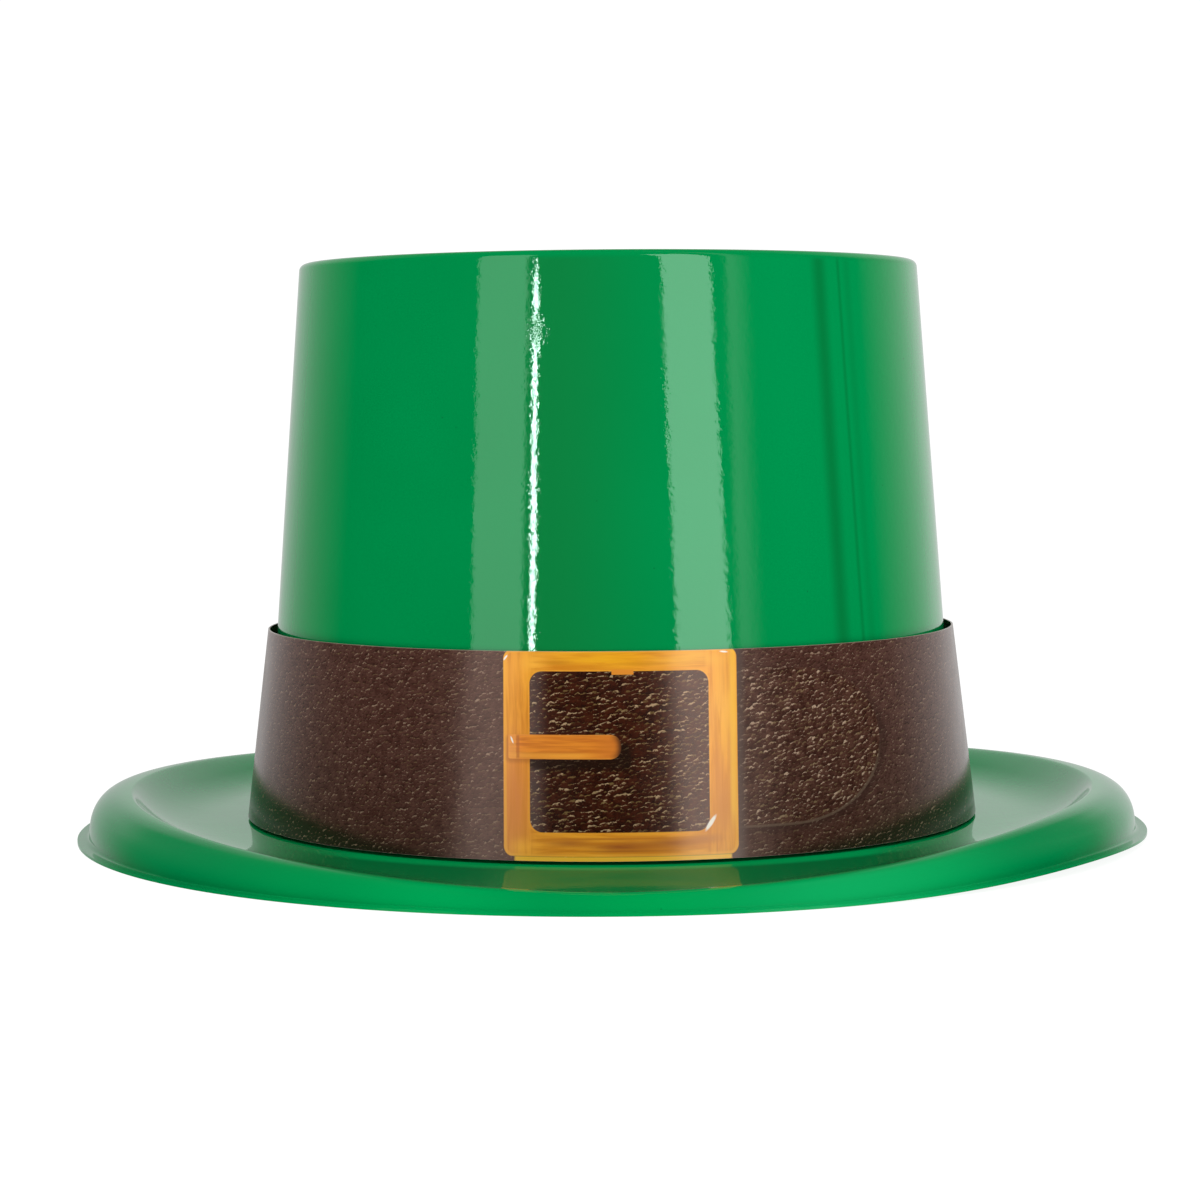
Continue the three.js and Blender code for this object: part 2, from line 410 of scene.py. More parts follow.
def green_plastic():
    """Glossy green sheet: a deep green with dust in it, and painted light and shade.

    Round the crown the painted tone follows the bearing: painted shade deepest at the front's middle,
    and painted light on the right, where the dark streaks run up the wall."""
    material, tree, shader = principled("green_plastic", roughness=0.045, ior=1.5)
    place = put(tree, "ShaderNodeTexCoord", out="Object")
    x, y, z = parts_of(tree, place)
    off_middle = math(tree, "ABSOLUTE", x)
    across = math(tree, "DIVIDE", x, crown_foot[0])
    forward = math(tree, "DIVIDE", y, -crown_foot[1])
    bearing = math(tree, "DEGREES", math(tree, "ARCTAN2", across, forward))
    below_top = fade(tree, z, *top_heights)
    on_crown = product(tree, ramp(tree, z, *crown_heights), below_top)

    def oval_share(half_oval):
        """How far out a point lies: 1 on the oval with these half widths."""
        return diagonal(tree, math(tree, "DIVIDE", x, half_oval[0]), math(tree, "DIVIDE", y, half_oval[1]))

    cloudy = ramp(tree, noise(tree, place, scale=22.0, detail=3.0), 0.3, 0.7)
    green = mixed(tree, cloudy, green_thick, green_plain)
    # Painted light on the crown's right side, and painted shade at its front middle.
    crown_lit = product(tree, ramp(tree, bearing, *right_start), fade(tree, bearing, *right_end), below_top)
    green = mixed(tree, crown_lit, green, green_crown_lit)
    crown_shade = product(tree, ramp(tree, bearing, *middle_start), fade(tree, bearing, *middle_end), on_crown)
    green = mixed(tree, crown_shade, green, green_crown_shade)
    lean = product(tree, math(tree, "SUBTRACT", streaks_height, z), streaks_lean)
    leaning = math(tree, "SUBTRACT", bearing, lean)
    for middle, reach, strength in dark_streaks:
        streak = ramp(tree, away(tree, leaning, middle), 0.0, reach, strength, 0.0)
        green = mixed(tree, product(tree, streak, on_crown), green, green_streak)

    # In front of the band the dish lies in its shade, painted into its green, beyond a lighter ring at
    # the band's foot, and mirrors little. The roll in front of it has painted light on it, and the roll
    # at the sides painted shade.
    out_share = oval_share(brim_edge)
    in_front = product(tree, ramp(tree, y, *shade_front), fade(tree, off_middle, *shade_side))
    before_roll = product(tree, fade(tree, out_share, *shade_edge_share), fade(tree, z, *shade_heights))
    front_dish = product(tree, in_front, before_roll)
    off_foot = ramp(tree, oval_share(foot_oval + strip), *shade_foot_share)
    middle_dish = fade(tree, off_middle, *shade_middle)
    dish_green = mixed(tree, middle_dish, green_shade, green_shade_middle)
    green = mixed(tree, product(tree, front_dish, off_foot), green, dish_green)
    # Painted shade on the roll at the hat's two sides.
    side_roll_shade = product(tree, ramp(tree, out_share, *side_roll_share), ramp(tree, off_middle, *side_roll_x))
    green = mixed(tree, side_roll_shade, green, green_roll_shade)
    front_roll = product(tree, ramp(tree, y, *front_roll_y), ramp(tree, out_share, *front_roll_share))
    # Painted light: lighter patches on the roll in front.
    for middle, reach, lit_green in roll_light_patches:
        patch = fade(tree, away(tree, x, middle), 0.0, reach)
        green = mixed(tree, product(tree, front_roll, patch), green, lit_green)
    specks = use_group(tree, dust, place, specks_per_metre, speck_size, speck_share)
    spotted = mixed(tree, product(tree, specks, speck_strength), green, green_speck)
    tree.links.new(spotted, shader.inputs["Base Color"])

    # The gloss: scuffed a little all over, weak on the shaded dish and on the roll before it.
    shader.inputs["Specular Tint"].default_value = mirror_tint
    dish_mirror = ramp(tree, middle_dish, 0.0, 1.0, shade_mirror, shade_middle_mirror)
    dull_roll = product(tree, ramp(tree, y, *dull_roll_y), ramp(tree, out_share, *dull_roll_share))
    mirror_level = product(tree, ramp(tree, front_dish, 0.0, 1.0, full_mirror, dish_mirror),
                           ramp(tree, dull_roll, 0.0, 1.0, 1.0, dull_share))
    tree.links.new(mirror_level, shader.inputs["Specular IOR Level"])
    scuffs = noise(tree, place, scale=140.0, detail=4.0, rough=0.6)
    tree.links.new(ramp(tree, scuffs, 0.45, 0.8, *sheet_roughness), shader.inputs["Roughness"])
    scuff_off = put(tree, "ShaderNodeVectorMath", place, scuffed_spot, operation="DISTANCE", out="Value")
    short_waves = ramp(tree, scuff_off, *scuff_reach, scuff_depth, short_wave_depth)
    skin = use_group(tree, ripple, place, long_wave_depth, short_waves)
    sag = product(tree, y, brim_sag, fade(tree, z, *sag_heights))
    raise_by(tree, shader, math(tree, "ADD", skin, sag))
    return material


shell.data.materials.append(green_plastic())
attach(shell, "root")
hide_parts("hat_shell")

# The band: a strip of thin card, printed with dark grained leather, a strap's tip and a square
# gold buckle, under a glossy film. It is closed to a ring with a glued lap at the back, and stands
# a little off the crown at the two sides. Its print is laid out in millimetres along the strip.
band_low, band_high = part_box("hat_band")
top_oval = np.array([80.77, 91.11]) * MM
band_columns = 360
band_rows = 12

# The lap at the back, and the way past it in which the strip settles back on the crown. Lengths
# are in millimetres along the strip.
back = np.radians(90.0)
back_mm_per_radian = 82.0
lap_length = 15.0
settle_length = 12.0
lap = back + np.array([-0.5, 0.5]) * lap_length / back_mm_per_radian
settle = settle_length / back_mm_per_radian
lap_step = 0.0004


def strip_faces(angle):
    """How far the strip's inner and outer face stand off the crown's side of the ring.

    Over the lap the strip is double, and past the inner end it settles back smoothly."""
    past = np.mod(angle - lap[1], 2 * np.pi)
    inner = strip * (1 - smooth(past / settle))
    in_lap = np.mod(angle - lap[0], 2 * np.pi) < lap[1] - lap[0]
    inner = np.where(in_lap, 0.0, inner)
    return inner, np.where(in_lap, 2 * strip, inner + strip)


def strip_face(angle, up, off):
    """A face of the strip: straight from the foot's oval to the top's, moved square to the oval."""
    oval = foot_oval + (top_oval - foot_oval) * up[:, None]
    around = np.stack([np.cos(angle), np.sin(angle)], axis=-1)
    plan = oval[:, None, :] * around[None]
    square = around * oval[:, None, ::-1]
    square = square / np.linalg.norm(square, axis=-1, keepdims=True)
    plan = plan + square * off[None, :, None]
    height = (band_low.z + (band_high.z - band_low.z) * up)[:, None] + np.zeros(len(angle))
    return np.concatenate([plan, height[..., None]], axis=-1)


band_angles = np.linspace(0.0, 2 * np.pi, band_columns, endpoint=False) - np.pi / 2
band_angles = np.sort(np.concatenate([band_angles, lap - lap_step, lap + lap_step]))
inner_off, outer_off = strip_faces(band_angles)
up = np.linspace(0.0, 1.0, band_rows)
outer_face = strip_face(band_angles, up, outer_off)
inner_face = strip_face(band_angles, up[::-1], inner_off)
band_points = np.concatenate([outer_face, inner_face])
band_faces = ring_faces(*band_points.shape[:2], joined=True)
band = smooth_piece("printed_band", band_points.reshape(-1, 3), band_faces, sharp_from=35.0)

# Where each point lies on the flat strip: its way along from the front's middle, towards the
# hat's right as it is looked at, and its way up, both in millimetres. The strip's two ends meet
# at the lap's outer end, at the back. The way along is walked in fine steps at the middle height.
band_height = 44.0
walk_steps = 3168
share_up = np.repeat(np.concatenate([up, up[::-1]]), len(band_angles))
middle_oval = (foot_oval + top_oval) / 2
walk = np.linspace(-1.1 * np.pi, 1.1 * np.pi, walk_steps + 1)
pace = np.hypot(middle_oval[0] * np.cos(walk), middle_oval[1] * np.sin(walk))
walked = np.concatenate([[0.0], np.cumsum((pace[1:] + pace[:-1]) / 2 * np.diff(walk))])
walked = walked - walked[walk_steps // 2]
oval_here = foot_oval + (top_oval - foot_oval) * share_up[:, None]
bearing = band_angles + np.pi / 2 - 2 * np.pi * (band_angles > lap[0])
bearing = np.tile(bearing, 2 * band_rows)
along = np.interp(bearing, walk, walked) * oval_here[:, 0] / middle_oval[0] / MM
strip_map = np.stack([along, share_up * band_height, np.zeros(len(along))], axis=-1)
attribute = band.data.attributes.new("strip_mm", "FLOAT_VECTOR", "POINT")
attribute.data.foreach_set("vector", strip_map.ravel())

# The print's own measures, all in millimetres along and up the strip. The tongue is drawn as two
# plates that overlap, one with the cut left end and one with the rounded right end.
Plate = namedtuple("Plate", "along up half_length half_height corner")
buckle = Plate(1.8, 22.65, 25.3, 21.75, 2.1)
window = Plate(1.5, 22.9, 19.2, 16.9, 2.7)
stub = Plate(2.2, 39.6, 2.3, 0.5, 0.05)
tongue = Plate(-10.3, 23.9, 12.1, 2.55, 0.35)
cut_part = Plate(tongue.along - 2.0, tongue.up, tongue.half_length - 2.0, tongue.half_height, tongue.corner)
round_part = cut_part._replace(along=tongue.along + 2.0, corner=2.3)
shadow_in_window = Plate(tongue.along + 3.2, tongue.up - 2.0, tongue.half_length - 1.2,
                         tongue.half_height, 1.6)
shadow_on_frame = Plate(tongue.along - 1.0, tongue.up - 0.5, tongue.half_length - 0.8,
                        tongue.half_height, 0.6)
StrapTip = namedtuple("StrapTip", "start up length half_height")
strap_tip = StrapTip(40.0, 23.0, 26.6, 16.7)
strap_shadow = 2.6
strap_start = (20.0, 20.4)
buckle_shadow = (0.4, 2.6)
window_side_starts = (17.5, 20.0)
crisp = (-0.08, 0.08)

# Places along or up the strip where a tone starts and ends, each as a from and a to, and the
# middles of single lines. The wedge is painted shade at the leather's foot beside the buckle.
wedge_start, wedge_end, wedge_slope = 33.0, 110.0, 0.12
wedge_edge, wedge_fade = (-1.5, 2.5), (120.0, 190.0)
sheen_right, sheen_left, sheen_left_share = (52.0, 100.0), (-50.0, -105.0), 0.8
sparse_middle, sparse_reach = 5.0, (30.0, 95.0)
dust_reach = (-17.2, -13.0)
right_edge_at, right_edge_heights = 26.1, (4.0, 12.0)
gold_foot_heights = (0.9, 1.1)
foot_line_heights, foot_line_middle, foot_line_reach = (0.75, 1.15), 2.2, (23.0, 23.6)
low_light_height, low_light_reach = 22.1, (2.0, -8.0)
cut_line_at, bevel_reach = -20.3, (-20.9, -20.6)

# The three leathers of the print: the mottled ground from dark to light, the pale and the olive
# of its lit rims, the lean, fineness, stretch and ridges of its grain, and where and how strongly
# a rim lights up.
Leather = namedtuple("Leather", "dark light pale olive lean per_mm stretch ridges start full strength")
plain_leather = Leather((0.058, 0.020, 0.014, 1), (0.088, 0.036, 0.026, 1), (0.33, 0.22, 0.15, 1),
                        (0.22, 0.15, 0.07, 1), -0.06, 1.4, 1.3, 0.5, 0.33, 0.62, 0.72)
strap_leather = Leather((0.046, 0.014, 0.009, 1), (0.090, 0.036, 0.024, 1), (0.50, 0.35, 0.24, 1),
                        (0.30, 0.21, 0.10, 1), -0.12, 1.25, 1.4, 0.6, 0.25, 0.58, 0.82)
window_leather = Leather((0.026, 0.004, 0.001, 1), (0.056, 0.010, 0.003, 1), (0.46, 0.31, 0.17, 1),
                         (0.27, 0.18, 0.06, 1), -0.04, 1.25, 1.5, 0.6, 0.26, 0.60, 0.88)
sparse_start = 0.42
leather_gap = (0.012, 0.004, 0.002, 1)
# Painted sheen, added to the leather towards the hat's sides.
leather_sheen = (0.036, 0.030, 0.028, 1)
# Painted shade at the leather's foot.
leather_foot_shade = (0.008, 0.006, 0.003, 1)
window_dust = (0.052, 0.043, 0.041, 1)
strap_shade = (0.036, 0.017, 0.013, 1)
strap_edge = (0.16, 0.105, 0.07, 1)
buckle_shade = (0.062, 0.040, 0.034, 1)
window_shade = (0.014, 0.006, 0.003, 1)
card_edge = (0.45, 0.38, 0.31, 1)
film_tint = (1.0, 0.76, 0.66, 1)
film_roughness = (0.19, 0.25)
card_wave_depth = 0.0012 * MM

# The golds of the buckle and its tongue, and of the lines along their edges.
gold_dark, gold_light = (0.64, 0.205, 0.005, 1), (0.87, 0.355, 0.018, 1)
gold_rim = (0.92, 0.43, 0.035, 1)
gold_lining = (0.85, 0.35, 0.025, 1)
gold_right_edge = (0.93, 0.50, 0.03, 1)
gold_foot = (0.86, 0.46, 0.03, 1)
gold_stub = (0.74, 0.25, 0.02, 1)
gold_shade = (0.40, 0.11, 0.01, 1)
tongue_dark, tongue_light = (0.58, 0.150, 0.009, 1), (0.80, 0.255, 0.016, 1)
tongue_low_light = (0.88, 0.37, 0.035, 1)
tongue_right = (0.64, 0.18, 0.018, 1)
tongue_bevel = (0.82, 0.32, 0.05, 1)
tongue_cut = (0.42, 0.11, 0.012, 1)
tongue_rim = (0.86, 0.33, 0.04, 1)
tongue_round_edge = (0.10, 0.03, 0.01, 1)

# Sweeps of lighter and darker metal over the gold, in the order in which they are laid. Each row
# is its middle along and up, its reach along and up, its colour and its strength.
sweeps = (
    (-2.0, 42.6, 17.0, 3.4, (0.86, 0.40, 0.006, 1), 0.95),
    (16.0, 42.0, 12.0, 2.6, (0.86, 0.42, 0.022, 1), 0.8),
    (-21.0, 13.0, 5.5, 21.0, (0.66, 0.20, 0.034, 1), 0.9),
    (-21.0, 40.0, 5.0, 8.0, (0.92, 0.38, 0.030, 1), 0.8),
    (-16.5, 41.6, 5.0, 3.4, (0.95, 0.44, 0.040, 1), 0.85),
    (6.0, 41.3, 9.0, 0.7, (0.62, 0.24, 0.005, 1), 0.7),
    (-7.0, 40.5, 8.0, 0.6, (0.64, 0.23, 0.005, 1), 0.65),
    (21.2, 29.0, 1.7, 8.0, (0.72, 0.26, 0.025, 1), 0.7),
    (22.6, 19.0, 1.7, 7.0, (0.66, 0.23, 0.025, 1), 0.7),
    (24.3, 32.0, 4.8, 17.0, (0.88, 0.41, 0.028, 1), 0.85),
    (23.8, 11.0, 4.4, 11.0, (0.62, 0.21, 0.020, 1), 0.85),
    (25.6, 21.0, 1.2, 12.0, (0.60, 0.20, 0.015, 1), 0.6),
    (2.5, 3.1, 12.5, 1.6, (0.33, 0.072, 0.010, 1), 0.95),
    (13.0, 3.7, 10.0, 1.7, (0.38, 0.100, 0.010, 1), 0.85),
    (-9.0, 3.8, 8.0, 1.4, (0.42, 0.115, 0.012, 1), 0.8),
    (19.5, 4.4, 6.0, 1.7, (0.50, 0.165, 0.020, 1), 0.8),
    (-1.0, 4.7, 19.0, 0.45, (0.36, 0.085, 0.006, 1), 0.6),
    (3.0, 2.1, 20.0, 0.4, (0.34, 0.080, 0.006, 1), 0.7),
    (-12.0, 41.6, 6.0, 0.9, (0.55, 0.21, 0.004, 1), 0.75),
    (-19.0, 2.8, 5.0, 3.0, (0.95, 0.41, 0.030, 1), 0.9),
)

# Printed glints, on corners of the buckle and on the tongue's cut end. Each row is its middle
# along and up, its half length, its half width and its turn in radians.
glint_white = (0.9, 0.86, 0.78, 1)
glints = (
    (-23.0, 42.6, 0.75, 0.22, 0.9),
    (20.9, 7.6, 2.1, 0.5, 0.95),
    (24.2, 43.5, 1.0, 0.2, -0.1),
    (-21.6, 25.3, 0.85, 0.2, -1.2),
)


def plate_group():
    """A rounded plate's distance: below 0 inside it, above 0 outside.

    The point is folded to one quarter of the plate. Outside, it is the length of what passes the
    corner's middle, less the corner's radius, and inside it is the larger of the two shortfalls."""
    tree, given, result = group_of(
        "plate", [("Along", "value"), ("Up", "value"), ("Middle along", "value"), ("Middle up", "value"),
                  ("Half length", "value"), ("Half height", "value"), ("Corner", "value")],
        [("Distance", "value")])

    def past(place, middle, half):
        folded = away(tree, given[place], given[middle])
        return math(tree, "ADD", math(tree, "SUBTRACT", folded, given[half]), given["Corner"])

    wide = past("Along", "Middle along", "Half length")
    tall = past("Up", "Middle up", "Half height")
    corner = diagonal(tree, math(tree, "MAXIMUM", wide, 0.0), math(tree, "MAXIMUM", tall, 0.0))
    inside = math(tree, "MINIMUM", math(tree, "MAXIMUM", wide, tall), 0.0)
    distance = math(tree, "SUBTRACT", math(tree, "ADD", corner, inside), given["Corner"])
    tree.links.new(distance, result["Distance"])
    return tree


def grain_group():
    """Printed leather grain: pebbles of leather, each lit along its upper rim.

    The place on the strip is turned by the lean and drawn out along it, and Voronoi cells are the
    pebbles. A point is lit by how far it lies above its pebble's middle, with fine noise to break
    the rims up and slower noise that lifts some stretches. The tone is each pebble's own."""
    tree, given, result = group_of(
        "leather_grain", [("Strip", "vector"), ("Lean", "value"), ("Pebbles per mm", "value"),
                          ("Stretch", "value"), ("Ridges", "value")], [("Lit", "value"), ("Tone", "value")])
    turned = put(tree, "ShaderNodeVectorRotate", given["Strip"], None, None, given["Lean"],
                 rotation_type="Z_AXIS")
    turned_along, turned_up, _ = parts_of(tree, turned)
    drawn = math(tree, "DIVIDE", turned_along, given["Stretch"])
    flat = put(tree, "ShaderNodeCombineXYZ", drawn, turned_up, 0.0)
    sized = put(tree, "ShaderNodeVectorMath", flat, None, None, given["Pebbles per mm"], operation="SCALE")
    waves = noise(tree, sized, scale=1.3, detail=1.0, flat=True)
    uneven = put(tree, "ShaderNodeVectorMath", waves, (0.45, 0.9, 0.0), operation="MULTIPLY")
    wavy = put(tree, "ShaderNodeVectorMath", sized, uneven, operation="ADD")
    pebbles = tree.nodes.new("ShaderNodeTexVoronoi")
    pebbles.voronoi_dimensions = "2D"
    pebbles.inputs["Scale"].default_value = 1.0
    pebbles.inputs["Randomness"].default_value = 0.9
    tree.links.new(wavy, pebbles.inputs["Vector"])
    off = put(tree, "ShaderNodeVectorMath", wavy, pebbles.outputs["Position"], operation="SUBTRACT")
    slope = put(tree, "ShaderNodeVectorMath", off, (-0.22, 1.0, 0.0), operation="DOT_PRODUCT", out="Value")

    def swing(per_pebble, detail, rough, size):
        """Noise about 0, of a size, with so many waves to a pebble."""
        waves = noise(tree, sized, per_pebble, detail, rough, flat=True)
        return product(tree, math(tree, "SUBTRACT", waves, 0.5), size)

    broken = swing(per_pebble=3.1, detail=2.0, rough=0.6, size=0.7)
    ridges = swing(per_pebble=0.3, detail=1.0, rough=0.5, size=given["Ridges"])
    tree.links.new(math(tree, "ADD", slope, math(tree, "ADD", broken, ridges)), result["Lit"])
    tree.links.new(put(tree, "ShaderNodeSeparateColor", pebbles.outputs["Color"]), result["Tone"])
    return tree


plate = plate_group()
grain = grain_group()


def printed_card():
    """The strip's whole print, built up as it was drawn: leather, strap's tip, buckle, tongue. The plain
    leather also has painted sheen and painted shade.

    s and v are the ways along and up the strip in millimetres. Layers are laid one on another,
    each through a mask with soft edges."""
    material, tree, shader = principled("printed_card", roughness=0.2, ior=1.5)
    strip_place = put(tree, "ShaderNodeAttribute", attribute_name="strip_mm", out="Vector")
    s, v, _ = parts_of(tree, strip_place)
    off_front = math(tree, "ABSOLUTE", s)

    def shape(measures):
        return use_group(tree, plate, s, v, *measures)

    def line(value, middle, start, end):
        """A soft line along a middle value: full up to start, gone at end, to either side."""
        return fade(tree, away(tree, value, middle), start, end)

    def near(middle_s, middle_v, reach_s, reach_v):
        """A soft round patch: 1 in its middle, 0 beyond its reach."""
        off_s = math(tree, "DIVIDE", math(tree, "SUBTRACT", s, middle_s), reach_s)
        off_v = math(tree, "DIVIDE", math(tree, "SUBTRACT", v, middle_v), reach_v)
        return fade(tree, diagonal(tree, off_s, off_v), 0.0, 1.0)

    def less(value):
        return math(tree, "SUBTRACT", 1.0, value)

    def brush(per_mm_along, per_mm_up, detail, rough, twist):
        """Noise drawn out to brush marks, with so many waves to a millimetre along and up."""
        place = put(tree, "ShaderNodeVectorMath", strip_place, (per_mm_along, per_mm_up, 0.0),
                    operation="MULTIPLY")
        return noise(tree, place, 1.0, detail, rough, twist, flat=True)

    def flecked(kind, ground, start):
        """Leather of a mottled ground with lit rims, some pale and some olive, and darker lee sides."""
        lit = use_group(tree, grain, strip_place, kind.lean, kind.per_mm, kind.stretch, kind.ridges)
        tone = lit.node.outputs["Tone"]
        ground = mixed(tree, ramp(tree, lit, -0.1, -0.55, 0.0, 0.5), ground, leather_gap)
        rim = product(tree, ramp(tree, lit, start, kind.full), ramp(tree, tone, 0.0, 0.9, 0.35, 1.0),
                      kind.strength)
        return mixed(tree, rim, ground, mixed(tree, ramp(tree, tone, 0.35, 0.75), kind.olive, kind.pale))

    # Plain leather: sparser away from the front, with painted sheen towards the hat's sides, and painted
    # shade in a wedge along the foot that grows away from the front and fades towards the back.
    mottle = ramp(tree, noise(tree, strip_place, scale=0.45, detail=4.0, rough=0.65, flat=True), 0.32, 0.68)
    ground = mixed(tree, mottle, plain_leather.dark, plain_leather.light)
    # Painted shade: a dark wedge along the foot.
    past_buckle = math(tree, "SUBTRACT", math(tree, "MINIMUM", off_front, wedge_end), wedge_start)
    below_wedge = math(tree, "SUBTRACT", product(tree, past_buckle, wedge_slope), v)
    foot_shade = product(tree, ramp(tree, below_wedge, *wedge_edge), fade(tree, off_front, *wedge_fade))
    # Painted sheen towards the sides: a lighter tone added to the ground.
    side_sheen = math(tree, "ADD", ramp(tree, s, *sheen_right), ramp(tree, s, *sheen_left, 0.0, sheen_left_share))
    ground = mixed(tree, product(tree, side_sheen, less(foot_shade)), ground, leather_sheen, way="ADD")
    ground = mixed(tree, product(tree, foot_shade, 0.8), ground, leather_foot_shade)
    sparse = ramp(tree, away(tree, s, sparse_middle), *sparse_reach, plain_leather.start, sparse_start)
    leather = flecked(plain_leather, ground, sparse)

    # The strap's tip on top of it: coarser grain, a pale cut edge and a soft shadow beside it.
    tip_along = math(tree, "MAXIMUM", math(tree, "SUBTRACT", s, strap_tip.start), 0.0)
    tip_s = math(tree, "DIVIDE", tip_along, strap_tip.length)
    tip_v = math(tree, "DIVIDE", math(tree, "SUBTRACT", v, strap_tip.up), strap_tip.half_height)
    tip_past = math(tree, "SUBTRACT", diagonal(tree, tip_s, tip_v), 1.0)
    tip_distance = product(tree, tip_past, strap_tip.half_height)
    from_buckle = ramp(tree, s, *strap_start)
    shadow = product(tree, fade(tree, tip_distance, 0.0, strap_shadow), from_buckle,
                     ramp(tree, v, 36.0, 24.0, 0.2, 0.55))
    leather = mixed(tree, shadow, leather, strap_shade)
    strap_ground = mixed(tree, mottle, strap_leather.dark, strap_leather.light)
    strap = flecked(strap_leather, strap_ground, strap_leather.start)
    on_strap = product(tree, fade(tree, tip_distance, -0.35, 0.0), from_buckle)
    leather = mixed(tree, on_strap, leather, strap)
    edge = product(tree, line(tip_distance, -0.1, 0.12, 0.42), from_buckle, ramp(tree, v, 24.0, 14.0))
    leather = mixed(tree, product(tree, edge, 0.55), leather, strap_edge)

    # Inside the buckle the strap is nearly black, its grain is the strongest, and it is dusty at
    # the left. The buckle casts a narrow shadow on the strap to its right.
    in_window = fade(tree, shape(window), *crisp)
    window_ground = mixed(tree, mottle, window_leather.dark, window_leather.light)
    inside = flecked(window_leather, window_ground, window_leather.start)
    inside = mixed(tree, fade(tree, s, *dust_reach), inside, window_dust, way="ADD")
    past_right = math(tree, "SUBTRACT", s, buckle.along + buckle.half_length)
    beside = product(tree, fade(tree, past_right, *buckle_shadow),
                     ramp(tree, s, buckle.along, buckle.along + 1.0))
    leather = mixed(tree, product(tree, beside, 0.85), leather, buckle_shade)
    picture = mixed(tree, in_window, leather, inside)

    # The buckle's gold: a brushed orange ground with lighter and darker sweeps laid over it. It is
    # brushed along the strip, and up and down on the buckle's two sides.
    on_sides = ramp(tree, away(tree, s, window.along), *window_side_starts)
    level = brush(per_mm_along=0.07, per_mm_up=1.0, detail=3.0, rough=0.6, twist=0.3)
    upright = brush(per_mm_along=1.0, per_mm_up=0.06, detail=3.0, rough=0.6, twist=0.3)
    brushed = put(tree, "ShaderNodeMix", on_sides, None, level, upright)
    gold = mixed(tree, ramp(tree, brushed, 0.25, 0.75), gold_dark, gold_light)
    streaked = ramp(tree, brushed, 0.3, 0.6, 0.6, 1.0)
    for middle_s, middle_v, reach_s, reach_v, colour, strength in sweeps:
        patch = near(middle_s, middle_v, reach_s, reach_v)
        gold = mixed(tree, product(tree, patch, strength, streaked), gold, colour)
    outer, inner = shape(buckle), shape(window)
    gold = mixed(tree, product(tree, line(outer, -0.35, 0.1, 0.5), 0.5), gold, gold_rim)
    gold = mixed(tree, product(tree, fade(tree, inner, 0.0, 0.55), 0.5), gold, gold_lining)
    right_edge = product(tree, line(s, right_edge_at, 0.2, 1.0), ramp(tree, v, *right_edge_heights))
    gold = mixed(tree, product(tree, right_edge, 0.7), gold, gold_right_edge)
    on_gold = product(tree, fade(tree, outer, *crisp), less(in_window), ramp(tree, v, *gold_foot_heights))
    picture = mixed(tree, on_gold, picture, gold)
    foot_line = product(tree, fade(tree, v, *foot_line_heights), line(s, foot_line_middle, *foot_line_reach))
    picture = mixed(tree, foot_line, picture, gold_foot)
    picture = mixed(tree, fade(tree, shape(stub), -0.05, 0.1), picture, gold_stub)

    # The tongue, with a shadow below it, a cut left end and a rounded right one.
    cast = product(tree, fade(tree, shape(shadow_in_window), -0.6, 1.1), 0.8, in_window)
    picture = mixed(tree, cast, picture, window_shade)
    cast = product(tree, fade(tree, shape(shadow_on_frame), -0.3, 0.9), 0.6, less(in_window))
    picture = mixed(tree, cast, picture, gold_shade)
    tongue_distance = math(tree, "MINIMUM", shape(cut_part), shape(round_part))
    bars = brush(per_mm_along=0.09, per_mm_up=1.3, detail=2.0, rough=0.5, twist=0.2)
    metal = mixed(tree, ramp(tree, bars, 0.3, 0.7), tongue_dark, tongue_light)
    low_light = product(tree, line(v, low_light_height, 0.1, 0.9), 0.65, ramp(tree, s, *low_light_reach))
    metal = mixed(tree, low_light, metal, tongue_low_light)
    metal = mixed(tree, ramp(tree, s, -8.0, 0.5, 0.0, 0.85), metal, tongue_right)
    metal = mixed(tree, product(tree, fade(tree, s, *bevel_reach), 0.6), metal, tongue_bevel)
    metal = mixed(tree, product(tree, line(s, cut_line_at, 0.15, 0.5), 0.65), metal, tongue_cut)
    metal = mixed(tree, ramp(tree, tongue_distance, -0.45, 0.0, 0.0, 0.5), metal, tongue_rim)
    round_edge = product(tree, ramp(tree, tongue_distance, -1.9, 0.0), ramp(tree, s, -1.0, 1.8))
    metal = mixed(tree, round_edge, metal, tongue_round_edge)
    picture = mixed(tree, fade(tree, tongue_distance, -0.07, 0.09), picture, metal)

    for middle_s, middle_v, half_length, half_width, turn in glints:
        from_here = put(tree, "ShaderNodeVectorMath", strip_place, (middle_s, middle_v, 0.0),
                        operation="SUBTRACT")
        turned = put(tree, "ShaderNodeVectorRotate", from_here, None, None, -turn, rotation_type="Z_AXIS")
        cut = put(tree, "ShaderNodeVectorMath", turned, (1 / half_length, 1 / half_width, 0.0),
                  operation="MULTIPLY")
        off = put(tree, "ShaderNodeVectorMath", cut, operation="LENGTH", out="Value")
        glint = ramp(tree, off, 0.6, 1.15, 0.95, 0.0)
        picture = mixed(tree, glint, picture, glint_white)

    # The card's cut edges are pale, at its top and at its foot, and the film on it is scuffed.
    at_top = ramp(tree, v, band_height - 0.14, band_height - 0.02)
    cut_edge = math(tree, "MAXIMUM", at_top, fade(tree, v, 0.02, 0.06))
    picture = mixed(tree, product(tree, cut_edge, 0.5), picture, card_edge)
    tree.links.new(picture, shader.inputs["Base Color"])
    shader.inputs["Specular Tint"].default_value = film_tint
    place = put(tree, "ShaderNodeTexCoord", out="Object")
    scuffs = noise(tree, place, scale=90.0, detail=3.0)
    tree.links.new(ramp(tree, scuffs, 0.3, 0.8, *film_roughness), shader.inputs["Roughness"])
    raise_by(tree, shader, use_group(tree, ripple, place, long_wave_depth, card_wave_depth))
    return material


band.data.materials.append(printed_card())
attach(band, "root")
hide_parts("hat_band")

